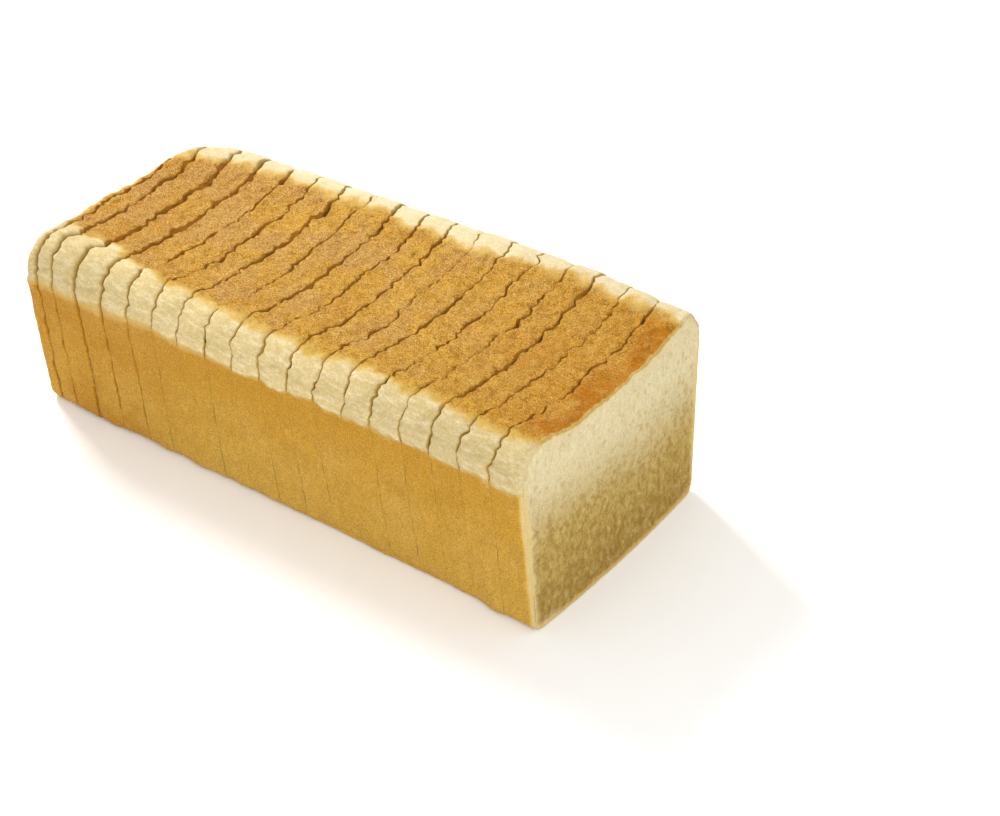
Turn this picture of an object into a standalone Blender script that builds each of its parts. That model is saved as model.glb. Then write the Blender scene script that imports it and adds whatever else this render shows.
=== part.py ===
"""A sliced tin loaf: nineteen slices of white bread that still stand together in a row.

The row runs along X, with the crusted heel at -X and the freshly cut end at +X. +Y is across the
loaf, +Z is up, and the origin is on the table under the middle of the loaf. Every slice is one
closed solid with a flat foot at Z = 0.
"""

import math
import random

import bmesh
import bpy

# The row of slices, in metres
SLICE_COUNT = 19
SLICE_PITCH = 0.01375  # from one knife cut to the next
CUT_WANDER = 0.0004  # how far a cut strays from its even place
SLICE_GAP = 0.0004  # between two slices that touch
FAN_GAP = 0.0016  # what the fanned cuts near the heel open by at the +Y side
FAN_CUT = 3.0  # the cut that opens most, counted from the heel
FAN_SPREAD = 2.5  # how many cuts on each side of it open too

# The section that the tin gives the loaf
LOAF_WIDTH = 0.1182  # across the two shoulders
LOAF_HEIGHT = 0.084
TIN_TAPER = 0.0056  # how far each wall comes in from shoulder to foot
SHOULDER_ACROSS = 0.012
SHOULDER_DOWN = 0.016
FOOT_RADIUS = 0.005
TOP_SAG = 0.004  # how far the middle of the top has sunk below the shoulders
HEEL_HOLD = 1.5  # cuts over which the heel's crust still keeps the loaf from sagging and bowing
CUT_BOW = 0.0025  # how far the middle of a soft slice bows towards the cut end
CORNER_STEPS = 5
FLAT_STEPS = 8

# How the +Y shoulder swells over the tin's rim along most of the loaf
SWELL_ACROSS = 0.0036
SWELL_UP = 0.002
SWELL_CUT = 12.5  # the cut where it swells most
SWELL_SPREAD = 8.0  # cuts over which the swelling dies away

# How the loaf sinks and narrows towards the heel, as (-Y side, +Y side)
HEEL_SINK = (0.006, 0.0073)
HEEL_NARROWING = (0.0025, 0.0015)
HEEL_PLAN_RADIUS = (0.013, 0.058)
HEEL_TOP_RADIUS = (0.0235, 0.030)
HEEL_CRUST_START = 0.0036  # where the heel's outer face meets its rounding
HEEL_RIM_RADIUS = 0.005
HEEL_SQUEEZE = 0.011  # how far the heel is pushed in towards the row
HEEL_SQUEEZE_SPREAD = 1.2  # cuts over which the push dies away

# How the slices lean back towards the heel, as a slope, at the cut end and at the heel
LEAN_AT_CUT_END = 0.045
LEAN_AT_HEEL = 0.075
FAN_TURN = 0.03  # the turn of the fanned slices about Z, as a slope
FAN_TURN_SPREAD = 3.0

# Small differences from slice to slice
SLICE_SHIFT = 0.0006
SLICE_HEIGHT_CHANGE = 0.0005
SEED = 19

# Where the loft takes its sections, as parts of a slice's thickness
SLICE_STATIONS = (0.0, 0.5, 1.0)
HEEL_STATIONS = (0.0, 0.06, 0.16, 0.32, 0.6, 1.0)

CRUST_GOLD = (0.72, 0.47, 0.18, 1.0)
CRUMB_CREAM = (0.86, 0.79, 0.60, 1.0)


def ease(value):
    """Rise smoothly from 0 to 1 as value goes from 0 to 1."""
    value = min(max(value, 0.0), 1.0)
    return value * value * (3.0 - 2.0 * value)


def rounding(radius, distance):
    """How far a corner of this radius has come in at a distance from its end."""
    short = max(radius - distance, 0.0)
    return radius - math.sqrt(radius * radius - short * short)


def bell(cut, centre, spread):
    """A bell curve over the cuts, 1 at its centre."""
    return math.exp(-(((cut - centre) / spread) ** 2))


def softness(place):
    """How freely the loaf sags: not at all at the heel's crust, and fully a few cuts away."""
    return 1.0 - bell(place, 0.0, HEEL_HOLD)


def slice_name(number):
    """The name of a slice, counted from 1 at the heel."""
    if number == 1:
        return "far_heel"
    if number == SLICE_COUNT:
        return "cut_end_slice"
    return f"slice_{number:02d}"


def remove_old_objects():
    """Empty the scene of objects."""
    for old in list(bpy.data.objects):
        bpy.data.objects.remove(old, do_unlink=True)


def new_collection(name):
    """Make a collection in the scene."""
    collection = bpy.data.collections.new(name)
    bpy.context.scene.collection.children.link(collection)
    return collection


def bread_material(name, colour):
    """A dry, matt bread surface."""
    material = bpy.data.materials.new(name)
    material.use_nodes = True
    shader = material.node_tree.nodes["Principled BSDF"]
    shader.inputs["Base Color"].default_value = colour
    shader.inputs["Roughness"].default_value = 0.85
    shader.inputs["Metallic"].default_value = 0.0
    material.diffuse_color = colour
    return material


def cut_position(cut, wander, y, z):
    """X of a knife cut at a point (y, z): it leans back, bows across and, near the heel, turns.

    Cut 0 is the heel's outer face and cut SLICE_COUNT the freshly cut end.
    """
    towards_heel = 1.0 - cut / SLICE_COUNT
    x = (cut - SLICE_COUNT) * SLICE_PITCH + wander
    x += CUT_BOW * softness(cut) * (1.0 - (2.0 * y / LOAF_WIDTH) ** 2)
    x += HEEL_SQUEEZE * bell(cut, 0.0, HEEL_SQUEEZE_SPREAD)
    turn = FAN_TURN * bell(cut, 1.0, FAN_TURN_SPREAD)
    lean = LEAN_AT_CUT_END + (LEAN_AT_HEEL - LEAN_AT_CUT_END) * towards_heel
    return x - turn * y - lean * z


def half_gap(cut, y):
    """Half the gap at a knife cut, which the fan opens towards +Y. The two ends have none."""
    if cut in (0, SLICE_COUNT):
        return 0.0
    opening = FAN_GAP * bell(cut, FAN_CUT, FAN_SPREAD)
    return 0.5 * (SLICE_GAP + opening * (0.5 + y / LOAF_WIDTH))


def side_measures(place, side, height_change):
    """Height of the shoulder, reach of the foot and of the shoulder, and lift of the foot.

    place counts cuts from the heel and may lie between two of them. side is 0 for -Y, 1 for +Y.
    """
    from_heel = HEEL_CRUST_START + place * SLICE_PITCH
    slump = ease((0.96 - place / SLICE_COUNT) / 0.8)
    rim = rounding(HEEL_RIM_RADIUS, from_heel)
    swell = bell(place, SWELL_CUT, SWELL_SPREAD) if side == 1 else 0.0
    sunk = HEEL_SINK[side] * slump + rounding(HEEL_TOP_RADIUS[side], from_heel)
    height = LOAF_HEIGHT - sunk - rim + SWELL_UP * swell + height_change
    plan = rounding(HEEL_PLAN_RADIUS[side], from_heel) + rim
    top_reach = LOAF_WIDTH / 2 - HEEL_NARROWING[side] * slump + SWELL_ACROSS * swell - plan
    foot_reach = LOAF_WIDTH / 2 - TIN_TAPER - plan
    return height, foot_reach, top_reach, rim


def half_rows(place, side, height_change):
    """The foot's and the shoulder's corner points (reach, z), both from the wall inwards."""
    height, foot_reach, top_reach, lift = side_measures(place, side, height_change)

    def wall(z):
        return foot_reach + (top_reach - foot_reach) * z / height

    spring = height - SHOULDER_DOWN
    foot = []
    shoulder = []
    for step in range(CORNER_STEPS + 1):
        angle = math.radians(90.0 * step / CORNER_STEPS)
        inwards = 1.0 - math.cos(angle)
        upwards = math.sin(angle)
        foot_z = FOOT_RADIUS * (1.0 - upwards) + lift
        foot.append((wall(FOOT_RADIUS) - FOOT_RADIUS * inwards, foot_z))
        shoulder_z = spring + SHOULDER_DOWN * upwards
        shoulder.append((wall(spring) - SHOULDER_ACROSS * inwards, shoulder_z))
    return foot, shoulder


def across(start, end, sag):
    """Points between two corners, in even steps, sunk by sag over most of their run."""
    points = []
    for step in range(1, FLAT_STEPS):
        part = step / FLAT_STEPS
        sunk = sag * (1.0 - abs(2.0 * part - 1.0) ** 3)
        y = start[0] + (end[0] - start[0]) * part
        points.append((y, start[1] + (end[1] - start[1]) * part - sunk))
    return points


def section_rows(place, height_change):
    """The lower and the upper row of a section's points (y, z), both from -Y to +Y."""
    minus_foot, minus_shoulder = half_rows(place, 0, height_change)
    plus_foot, plus_shoulder = half_rows(place, 1, height_change)
    rows = []
    sag = TOP_SAG * softness(place)
    for minus, plus, depth in ((minus_foot, plus_foot, 0.0), (minus_shoulder, plus_shoulder, sag)):
        left = [(-reach, z) for reach, z in minus]
        right = list(reversed(plus))
        rows.append(left + across(left[-1], right[0], depth) + right)
    return rows


def cap_faces(mesh, lower, upper):
    """Close an end with a strip of faces between its lower and its upper row."""
    for i in range(len(lower) - 1):
        mesh.faces.new((lower[i], lower[i + 1], upper[i + 1], upper[i]))


def side_faces(mesh, first, second):
    """Join two neighbouring sections all the way round."""
    for i in range(len(first)):
        mesh.faces.new((first[i - 1], first[i], second[i], second[i - 1]))


def slice_mesh(number, cut_wanders, height_change):
    """Loft one slice through its sections, from its heel side to its cut-end side."""
    far, near = number - 1, number
    stations = HEEL_STATIONS if number == 1 else SLICE_STATIONS
    mesh = bmesh.new()
    sections = []
    for part in stations:
        rows = []
        for row in section_rows(far + part, height_change):
            corners = []
            for y, z in row:
                far_x = cut_position(far, cut_wanders[far], y, z) + half_gap(far, y)
                near_x = cut_position(near, cut_wanders[near], y, z) - half_gap(near, y)
                corners.append(mesh.verts.new((far_x + (near_x - far_x) * part, y, z)))
            rows.append(corners)
        sections.append(rows)
    cap_faces(mesh, *sections[0])
    cap_faces(mesh, *sections[-1])
    rings = [lower + list(reversed(upper)) for lower, upper in sections]
    for first, second in zip(rings, rings[1:]):
        side_faces(mesh, first, second)
    bmesh.ops.recalc_face_normals(mesh, faces=mesh.faces)
    return mesh


def add_slice(number, cut_wanders, draw, collection):
    """Make one slice as an object whose origin is on the table under its middle."""
    shift = draw.uniform(-SLICE_SHIFT, SLICE_SHIFT)
    height_change = draw.uniform(-SLICE_HEIGHT_CHANGE, SLICE_HEIGHT_CHANGE)
    mesh = slice_mesh(number, cut_wanders, height_change)
    xs = [corner.co.x for corner in mesh.verts]
    middle = (min(xs) + max(xs)) / 2
    bmesh.ops.translate(mesh, verts=mesh.verts, vec=(-middle, 0.0, 0.0))
    name = slice_name(number)
    data = bpy.data.meshes.new(name)
    mesh.to_mesh(data)
    mesh.free()
    data.shade_smooth()
    data.set_sharp_from_angle(angle=math.radians(35.0))
    piece = bpy.data.objects.new(name, data)
    piece.location = (middle, shift, 0.0)
    colour = CRUMB_CREAM if number == SLICE_COUNT else CRUST_GOLD
    data.materials.append(bread_material(name, colour))
    collection.objects.link(piece)
    return piece


def centre_on_table(pieces, loaf):
    """Parent the slices to an empty and bring the middle of their box over the origin."""
    corners = [piece.location + corner.co for piece in pieces for corner in piece.data.vertices]
    middle_x = (min(c.x for c in corners) + max(c.x for c in corners)) / 2
    middle_y = (min(c.y for c in corners) + max(c.y for c in corners)) / 2
    for piece in pieces:
        piece.location.x -= middle_x
        piece.location.y -= middle_y
        piece.parent = loaf


def main():
    """Build the loaf."""
    remove_old_objects()
    collection = new_collection("tin_loaf")
    loaf = bpy.data.objects.new("loaf_origin", None)
    collection.objects.link(loaf)
    draw = random.Random(SEED)
    cut_wanders = [draw.uniform(-CUT_WANDER, CUT_WANDER) for _ in range(SLICE_COUNT + 1)]
    pieces = [
        add_slice(number, cut_wanders, draw, collection) for number in range(1, SLICE_COUNT + 1)
    ]
    centre_on_table(pieces, loaf)


main()
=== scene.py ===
"""The looks of a sliced tin loaf: nineteen slices of baked crust and soft crumb."""

import math
import random

import bpy
import numpy as np
from bpy.props import FloatProperty, FloatVectorProperty, IntProperty, PointerProperty
from mathutils import Matrix, Vector


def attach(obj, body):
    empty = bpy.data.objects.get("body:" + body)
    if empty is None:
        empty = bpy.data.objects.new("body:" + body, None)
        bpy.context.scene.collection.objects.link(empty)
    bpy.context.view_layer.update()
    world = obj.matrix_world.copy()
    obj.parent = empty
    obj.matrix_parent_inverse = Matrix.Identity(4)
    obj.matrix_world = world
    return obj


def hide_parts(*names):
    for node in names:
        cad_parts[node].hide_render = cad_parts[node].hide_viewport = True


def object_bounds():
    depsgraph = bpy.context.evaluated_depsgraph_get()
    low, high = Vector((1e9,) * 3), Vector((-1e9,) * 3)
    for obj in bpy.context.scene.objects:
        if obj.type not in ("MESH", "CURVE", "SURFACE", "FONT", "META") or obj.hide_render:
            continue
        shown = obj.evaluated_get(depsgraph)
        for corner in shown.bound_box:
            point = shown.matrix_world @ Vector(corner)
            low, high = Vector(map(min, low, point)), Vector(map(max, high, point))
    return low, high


bl_info = {
    "name": "Sliced Tin Loaf",
    "version": (1, 0, 0),
    "blender": (4, 5, 0),
    "location": "View3D > Sidebar > Tin Loaf",
    "description": "Builds a sliced tin loaf over its packed frame",
    "category": "Object",
}

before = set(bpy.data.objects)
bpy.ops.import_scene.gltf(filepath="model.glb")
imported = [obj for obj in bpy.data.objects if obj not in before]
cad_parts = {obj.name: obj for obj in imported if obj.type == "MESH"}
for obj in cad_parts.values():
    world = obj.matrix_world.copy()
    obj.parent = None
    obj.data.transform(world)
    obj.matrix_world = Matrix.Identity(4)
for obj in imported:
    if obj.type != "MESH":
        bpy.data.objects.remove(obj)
FRAME_LOW, FRAME_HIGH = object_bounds()

# The row of slices and the section that the tin gives it, in metres, as the part states them
SLICE_COUNT = 19
SLICE_PITCH = 0.01375
CUT_WANDER = 0.0004
SLICE_GAP = 0.0004
FAN_GAP = 0.0016
FAN_CUT = 3.0
FAN_SPREAD = 2.5
LOAF_WIDTH = 0.1182
LOAF_HEIGHT = 0.084
TIN_TAPER = 0.0056
SHOULDER_ACROSS = 0.012
SHOULDER_DOWN = 0.016
FOOT_RADIUS = 0.005
TOP_SAG = 0.004
HEEL_HOLD = 1.5
CUT_BOW = 0.0025
SWELL_ACROSS = 0.0036
SWELL_UP = 0.002
SWELL_CUT = 12.5
SWELL_SPREAD = 8.0
HEEL_SINK = (0.006, 0.0073)
HEEL_NARROWING = (0.0025, 0.0015)
HEEL_PLAN_RADIUS = (0.013, 0.058)
HEEL_TOP_RADIUS = (0.0235, 0.03)
HEEL_CRUST_START = 0.0036
HEEL_RIM_RADIUS = 0.005
HEEL_SQUEEZE = 0.011
HEEL_SQUEEZE_SPREAD = 1.2
LEAN_AT_CUT_END = 0.045
LEAN_AT_HEEL = 0.075
FAN_TURN = 0.03
FAN_TURN_SPREAD = 3.0
SLICE_SHIFT = 0.0006
SLICE_HEIGHT_CHANGE = 0.0005
SEED = 19
SHIFT_SHOWN = 0.5  # part of a slice's shift across that its soft crust shows

# How finely a slice is gridded, as (corner, flat, wall) steps, all even
SLICE_STEPS = (36, 196, 104)
CUT_END_STEPS = (50, 226, 150)
RIM_STATIONS = (0.0, 0.0001, 0.00025, 0.0005, 0.00085, 0.0013)  # distances in from a cut
STATION_STEP = 0.00062

# How the bread's surface strays from the smooth form, in metres
GAP_LIMIT = 0.00048
GAP_LEAST = 0.00002
TOP_SLANT = 0.00045
CREASE_DEPTH, CREASE_HEIGHT, CREASE_WIDTH = 0.0007, 0.0065, 0.001
LIP_HEIGHT, LIP_DISTANCE, LIP_WIDTH = 0.00032, 0.0016, 0.0008
HEEL_WEAR = 0.0022
FOOT_TUCK = 0.0016
FOOT_ROUNDING = 0.0003
TUFT_HEIGHT = 0.00048
BORDER_FADE = 0.005  # how far the border's moves reach into a face
RIM_SHADE = 0.0045  # how far the baked rim and the painted shade in the cracks reach into a hidden face
ROUNDER = 0.009  # radius of the corners of the heel's golden patch
OUTER_TEAR = 0.3  # part of the tears that the loaf's two ends show

# Layers of noise, as (size in metres, strength, seed)
TEAR = ((0.012, 1.0, 31), (0.0052, 0.8, 32), (0.0029, 1.1, 33), (0.0014, 0.75, 36))
OPENING = ((0.013, 1.0, 34), (0.0042, 1.3, 35), (0.0017, 0.9, 37))
BAND_BORDER = ((0.013, 0.0016, 51), (0.0045, 0.0013, 52), (0.0018, 0.0006, 53))
HEEL_PATCH_BORDER = ((0.013, 0.0026, 57), (0.0045, 0.0013, 58))
FOOT_RIPPLE = ((0.011, 0.0006, 66), (0.004, 0.00042, 68))
BAKE = ((0.022, 0.22, 81), (0.008, 0.16, 82))
BAKE_BORDER = ((0.011, 0.008, 83), (0.0045, 0.005, 84))
CRUMB_RIPPLE = ((0.009, 0.00022, 14), (0.003, 0.00012, 15))

# The crust's relief, as (size in metres, seed, and parts all over, on top and where pale)
RELIEF = ((0.008, 61, 0.2, 0.6, 0.5), (0.0036, 62, 0.08, 0.9, 0.45), (0.0017, 63, 0.04, 0.9, 0.0))

LATTICE_OFFSET = 512.0  # keeps the noise's lattice numbers above zero
CELL_OFFSET = 4096  # the same for the pores' cells
MILLIMETRES = 1000.0  # in a metre
MARKS = ("pale", "top", "warm", "cut_edge", "inset", "seam", "bake", "pore", "rim")
CRUST, CRUMB = 0, 1  # a slice's two material slots
MIX_FIRST, MIX_SECOND, MIX_RESULT = 6, 7, 2  # a Mix node's colour sockets
CRUST_NAME, CRUMB_NAME = "baked_crust", "soft_crumb"

# Tints of the top, the side, the pale shoulder, the borders and the crumb
WARM_GOLD = (0.8, 0.44, 0.02)
ROSY_BROWN = (0.5, 0.22, 0.05)
BLISTER_BROWN = (0.46, 0.185, 0.006)
BLISTER_TAN = (0.7, 0.43, 0.11)
GRAIN_RUST = (0.4, 0.17, 0.01)
GRAIN_DARK = (0.33, 0.13, 0.01)
GLINT_GOLD = (0.95, 0.69, 0.25)
DEEP_ORANGE = (0.56, 0.21, 0.0)
SMUDGE_BROWN = (0.41, 0.2, 0.02)
SIDE_STRAW = (0.56, 0.335, 0.07)
FOOT_STRAW = (0.6, 0.375, 0.068)
UPPER_AMBER = (0.47, 0.225, 0.012)
HEEL_TAN = (0.52, 0.31, 0.072)
TOAST_BROWN = (0.42, 0.192, 0.012)
FAR_BROWN = (0.4, 0.17, 0.008)
SIDE_GRAIN = (0.33, 0.155, 0.012)
SIDE_GLINT = (0.76, 0.5, 0.16)
SMUDGE_CREAM = (0.52, 0.39, 0.14)
# Painted highlights and shade on the shoulder's facets and creases, and painted light on the back
# shoulder
FACET_HIGHLIGHT = (0.74, 0.625, 0.385)
FACET_SHADE = (0.52, 0.4, 0.16)
STREAK_HIGHLIGHT = (0.79, 0.69, 0.45)
STREAK_SHADE = (0.52, 0.395, 0.15)
PAINTED_BACK_LIGHT = (0.72, 0.63, 0.42)
SIDE_FRINGE = (0.57, 0.35, 0.07)
TOP_FRINGE = (0.66, 0.4, 0.05)
# Painted shade along the seams between slices, on the baked and on the pale crust
SEAM_SHADE_BROWN = (0.38, 0.15, 0.008)
SEAM_SHADE_OLIVE = (0.43, 0.27, 0.04)
SIDE_GILT = (0.66, 0.42, 0.08)
# The cut end's edge: gilt crust made lighter on top as painted light, and worn crumb darkened as
# painted shade
TOP_GILT_AND_PAINTED_LIGHT = (0.8, 0.53, 0.13)
WORN_CREAM_AND_PAINTED_SHADE = (0.62, 0.51, 0.28)
CLOUD_CREAM = (0.61, 0.505, 0.285)
WEB_TAN = (0.52, 0.4, 0.17)
# Painted shadow towards the cut end's foot, with a little of the crumb's own yellower tone: ochre,
# dark tufts and brown
PAINTED_SHADE_OCHRE = (0.4, 0.265, 0.055)
TUFT_DARK = (0.275, 0.16, 0.022)
PAINTED_SHADOW_BROWN = (0.25, 0.13, 0.018)
TUFT_LIGHT = (0.56, 0.43, 0.16)
# Painted shade in the crumb's pores
PORE_SHADE_TAN = (0.411, 0.284, 0.103)
EDGE_YELLOW = (0.66, 0.48, 0.16)
# The hidden faces' rim: baked crust at the edge, and painted shade deeper in the cracks
SIDE_RIM_AND_SHADE = (0.46, 0.27, 0.04)
TOP_RIM_AND_SHADE = (0.42, 0.175, 0.014)
SHOULDER_RIM_AND_SHADE = (0.52, 0.35, 0.07)
MATT_GLOSS = 0.08

# Where the camera stands and the lights point, and the floor's reach and level
CAMERA_PLACE = (0.5744, -0.6841, 0.6924)
CAMERA_AZIMUTH = 36.397
CAMERA_ELEVATION = 37.226
CAMERA_LENS = 99.94
LIGHTS_AIM = (0.0, 0.0, 0.03)
FLOOR_REACH = 4.0
FLOOR_LEVEL = -0.0002


# What settings of one kind share
LENGTH = {"unit": "LENGTH", "precision": 5}
TINT = {"subtype": "COLOR", "min": 0.0, "max": 1.0}


class LoafLook(bpy.types.PropertyGroup):
    """The sizes and colours of the bread's surfaces."""

    crust_relief: FloatProperty(
        name="Crust Relief",
        description="How far the dents and lumps of the top crust stand in or out",
        default=0.0006, **LENGTH,
    )
    seam_wander: FloatProperty(
        name="Seam Wander", description="How far the torn edge of a cut strays on the top crust",
        default=0.0009, **LENGTH,
    )
    rim_wear: FloatProperty(
        name="Rim Wear", description="Radius to which the knife has rounded the edge of a slice",
        default=0.00064, **LENGTH,
    )
    shoulder_pillow: FloatProperty(
        name="Shoulder Pillow",
        description="How far each slice bulges between two cuts on the pale shoulders",
        default=0.0007, **LENGTH,
    )
    pore_depth: FloatProperty(
        name="Pore Depth", description="Depth of a crumb pore as a part of its radius",
        default=0.75, subtype="FACTOR", min=0.0, max=1.5,
    )
    top_gold: FloatVectorProperty(
        name="Top Crust", description="Colour of the well-baked top",
        default=(0.68, 0.345, 0.03), **TINT,
    )
    top_dark: FloatVectorProperty(
        name="Dark Crust", description="Colour of the most baked patches of the top",
        default=(0.56, 0.172, 0.0), **TINT,
    )
    top_tan: FloatVectorProperty(
        name="Floury Crust", description="Colour of the dull tan patches of the top",
        default=(0.64, 0.345, 0.1), **TINT,
    )
    side_gold: FloatVectorProperty(
        name="Side Crust", description="Colour of the crust that lay against the tin",
        default=(0.52, 0.29, 0.034), **TINT,
    )
    shoulder_cream: FloatVectorProperty(
        name="Pale Shoulder",
        description="Colour of the soft shoulder that the tin's lid kept pale",
        default=(0.618, 0.49, 0.246), **TINT,
    )
    crumb_cream: FloatVectorProperty(
        name="Crumb", description="Colour of the white crumb",
        default=(0.65, 0.566, 0.35), **TINT,
    )


class StageLook(bpy.types.PropertyGroup):
    """The floor and the lights."""

    key_power: FloatProperty(
        name="Key Light", description="Power of the large soft light",
        default=17.0, unit="POWER", min=0.0,
    )
    fill_power: FloatProperty(
        name="Fill Light", description="Power of the weaker soft light on the cut end's side",
        default=9.0, unit="POWER", min=0.0,
    )
    sky_strength: FloatProperty(
        name="Sky Strength", description="Strength of the even light from all round",
        default=0.75, min=0.0,
    )
    floor_colour: FloatVectorProperty(
        name="Floor", description="Colour of the plain floor",
        default=(0.96, 0.96, 0.96), **TINT,
    )
    floor_steps: IntProperty(
        name="Floor Steps", description="Grid steps along each side of the floor",
        default=8, min=1,
    )


# ---- the loaf's smooth form


def ease(value):
    """Rise smoothly from 0 to 1: three times the square less twice the cube."""
    value = np.clip(value, 0.0, 1.0)
    return value * value * (3.0 - 2.0 * value)


def rounding(radius, distance):
    """How far a circular corner has come in at a distance from its end."""
    short = np.maximum(radius - distance, 0.0)
    return radius - np.sqrt(radius * radius - short * short)


def bell(value, centre, spread):
    """A bell curve: e to the minus square of the distance from the centre over the spread."""
    return np.exp(-(((value - centre) / spread) ** 2))


def rise(value, start, end):
    """Rise smoothly from 0 at the start to 1 at the end, which may be the lower of the two."""
    return ease((value - start) / (end - start))


def softness(place):
    """How freely the loaf sags: one less a bell curve that is centred on the heel."""
    return 1.0 - bell(place, 0.0, HEEL_HOLD)


def cut_position(cut, wander, y, z):
    """X of a knife cut at (y, z): even pitch, a bow across, a push at the heel, a turn, a lean."""
    x = (cut - SLICE_COUNT) * SLICE_PITCH + wander
    x = x + CUT_BOW * softness(cut) * (1.0 - (2.0 * y / LOAF_WIDTH) ** 2)
    x = x + HEEL_SQUEEZE * bell(cut, 0.0, HEEL_SQUEEZE_SPREAD)
    turn = FAN_TURN * bell(cut, 1.0, FAN_TURN_SPREAD)
    towards_heel = 1.0 - cut / SLICE_COUNT
    lean = LEAN_AT_CUT_END + (LEAN_AT_HEEL - LEAN_AT_CUT_END) * towards_heel
    return x - turn * y - lean * z


def half_gap(cut, y):
    """Half the gap at a cut: a constant, and near the heel a fan that opens towards +Y."""
    if cut in (0, SLICE_COUNT):
        return np.zeros_like(y)
    opening = FAN_GAP * bell(cut, FAN_CUT, FAN_SPREAD)
    return 0.5 * (SLICE_GAP + opening * (0.5 + y / LOAF_WIDTH))


def side_measures(place, side, height_change):
    """Shoulder height, foot reach, shoulder reach and foot lift of one side (0 is -Y, 1 is +Y).

    Each is the tin's own size less a slump that eases in towards the heel and less the heel's
    corner roundings; the +Y shoulder swells by a bell curve along the row.
    """
    from_heel = HEEL_CRUST_START + place * SLICE_PITCH
    slump = ease((0.96 - place / SLICE_COUNT) / 0.8)
    rim = rounding(HEEL_RIM_RADIUS, from_heel)
    swell = bell(place, SWELL_CUT, SWELL_SPREAD) if side == 1 else 0.0
    sunk = HEEL_SINK[side] * slump + rounding(HEEL_TOP_RADIUS[side], from_heel)
    height = LOAF_HEIGHT - sunk - rim + SWELL_UP * swell + height_change
    plan = rounding(HEEL_PLAN_RADIUS[side], from_heel) + rim
    top_reach = LOAF_WIDTH / 2 - HEEL_NARROWING[side] * slump + SWELL_ACROSS * swell - plan
    foot_reach = LOAF_WIDTH / 2 - TIN_TAPER - plan
    return height, foot_reach, top_reach, rim


def corner_arcs(place, side, height_change, corner_steps):
    """Foot and shoulder corners of one side: quarter ellipses swept from the wall inwards."""
    height, foot_reach, top_reach, lift = side_measures(place, side, height_change)
    angle = np.linspace(0.0, math.pi / 2, corner_steps + 1)
    inwards = 1.0 - np.cos(angle)
    upwards = np.sin(angle)
    slope = (top_reach - foot_reach) / height
    spring = height - SHOULDER_DOWN
    foot_y = foot_reach + slope * FOOT_RADIUS - FOOT_RADIUS * inwards
    foot_z = FOOT_RADIUS * (1.0 - upwards) + lift
    shoulder_y = foot_reach + slope * spring - SHOULDER_ACROSS * inwards
    shoulder_z = spring + SHOULDER_DOWN * upwards
    return np.stack([foot_y, foot_z], -1), np.stack([shoulder_y, shoulder_z], -1)


def section_rows(place, height_change, steps):
    """The lower and upper rows of a section, from -Y to +Y, as arrays [station, point, (y, z)].

    Each row is a corner arc, a straight run and the other side's arc. The upper run sinks by the
    sag times one less the cube of the distance from its middle.
    """
    corner_steps, flat_steps, _ = steps
    minus = corner_arcs(place, 0, height_change, corner_steps)
    plus = corner_arcs(place, 1, height_change, corner_steps)
    part = np.linspace(0.0, 1.0, flat_steps + 1)[1:-1, None]
    hollow = 1.0 - np.abs(2.0 * part - 1.0) ** 3
    sags = (0.0 * place, TOP_SAG * softness(place))
    rows = []
    for left, right, sag in zip(minus, plus, sags):
        left = left * np.array([-1.0, 1.0])
        right = right[:, ::-1]
        run = left[:, -1:] + (right[:, :1] - left[:, -1:]) * part
        run[..., 1] -= sag * hollow[:, 0]
        rows.append(np.concatenate([left, run, right], axis=1))
    return rows


def section_ring(lower, upper, wall_steps):
    """Walk round a section anticlockwise from -Y at the foot: lower row, +Y wall, top, -Y wall."""
    up = np.linspace(0.0, 1.0, wall_steps + 1)[1:-1, None]
    plus_wall = lower[:, -1:] + (upper[:, -1:] - lower[:, -1:]) * up
    minus_wall = upper[:, :1] + (lower[:, :1] - upper[:, :1]) * up
    return np.concatenate([lower, plus_wall, upper[:, ::-1], minus_wall], axis=1)


# ---- chance, as lattice noise


def lattice(ix, iy, iz, seed):
    """A repeatable number from 0 to 1 for each whole-number point, by mixing its bits."""
    h = ix.astype(np.uint32) * np.uint32(73856093)
    h = h ^ (iy.astype(np.uint32) * np.uint32(19349663))
    h = h ^ (iz.astype(np.uint32) * np.uint32(83492791))
    h = h ^ np.uint32(seed * 40503 + 977)
    h = (h ^ (h >> np.uint32(15))) * np.uint32(2246822519)
    h = (h ^ (h >> np.uint32(13))) * np.uint32(3266489917)
    h = h ^ (h >> np.uint32(16))
    return (h & np.uint32(0xFFFFFF)).astype(np.float64) / 0xFFFFFF


def lumps(x, y, z, size, seed):
    """Smooth noise from -1 to 1: lattice values blended by the eased distance between points."""
    px, py, pz = (axis / size + LATTICE_OFFSET for axis in (x, y, z))
    ix, iy, iz = np.floor(px), np.floor(py), np.floor(pz)
    fx, fy, fz = ease(px - ix), ease(py - iy), ease(pz - iz)
    ix, iy, iz = ix.astype(np.int64), iy.astype(np.int64), iz.astype(np.int64)
    total = 0.0
    for dx in (0, 1):
        for dy in (0, 1):
            for dz in (0, 1):
                weight = (fx if dx else 1 - fx) * (fy if dy else 1 - fy) * (fz if dz else 1 - fz)
                total = total + weight * lattice(ix + dx, iy + dy, iz + dz, seed)
    return 2.0 * total - 1.0


def layered(x, y, z, layers):
    """Noise of several sizes added up, from layers of (size, strength, seed)."""
    return sum(strength * lumps(x, y, z, size, seed) for size, strength, seed in layers)


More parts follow.
